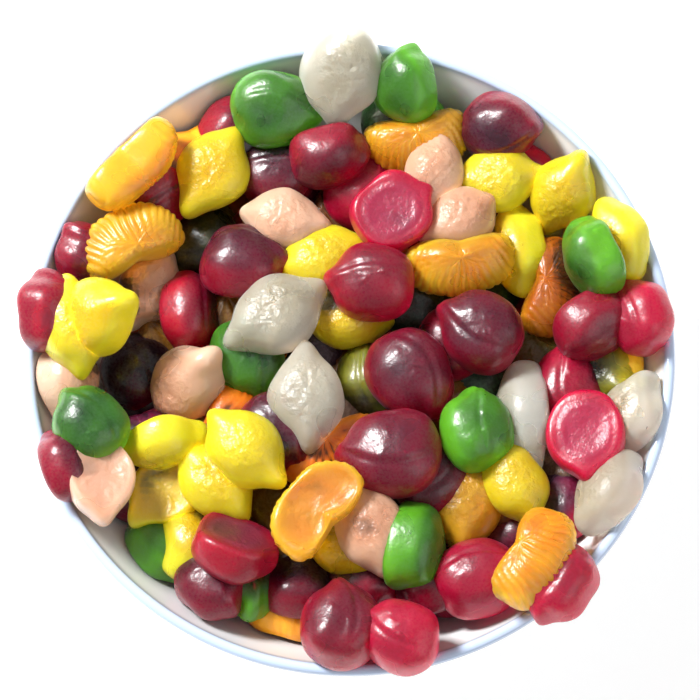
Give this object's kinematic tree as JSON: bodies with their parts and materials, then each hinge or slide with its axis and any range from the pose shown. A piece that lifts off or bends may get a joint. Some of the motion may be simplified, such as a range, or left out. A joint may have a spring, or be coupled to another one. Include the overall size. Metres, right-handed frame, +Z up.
{
  "type": "bowl of fruit gummies",
  "caption": "Round white bowl on a low foot, heaped above its rim with soft moulded fruit gummies: lemons with a nub at each end, plums with one nub and ribbed citrus segments.",
  "frame": {"origin": "middle of the bowl's flat underside, on the bowl's upright axis, where it rests on the table", "axes": "+Z points up out of the bowl's mouth; +Y points away from a viewer who looks at the bowl over its near rim, so it is up in the picture; +X points to that viewer's right"},
  "size_m": [0.1526, 0.158, 0.0736],
  "materials": {
    "glaze": "gloss",
    "gel": "satin",
    "yellow_gel": "satin",
    "clear_gel": "satin",
    "peach_gel": "satin",
    "orange_gel": "satin",
    "purple_gel": "satin",
    "crimson_gel": "satin",
    "green_gel": "satin"
  },
  "bodies": {
    "root": {"bowl": "glaze", "gummy_heap": "gel"}
  },
  "joints": []
}
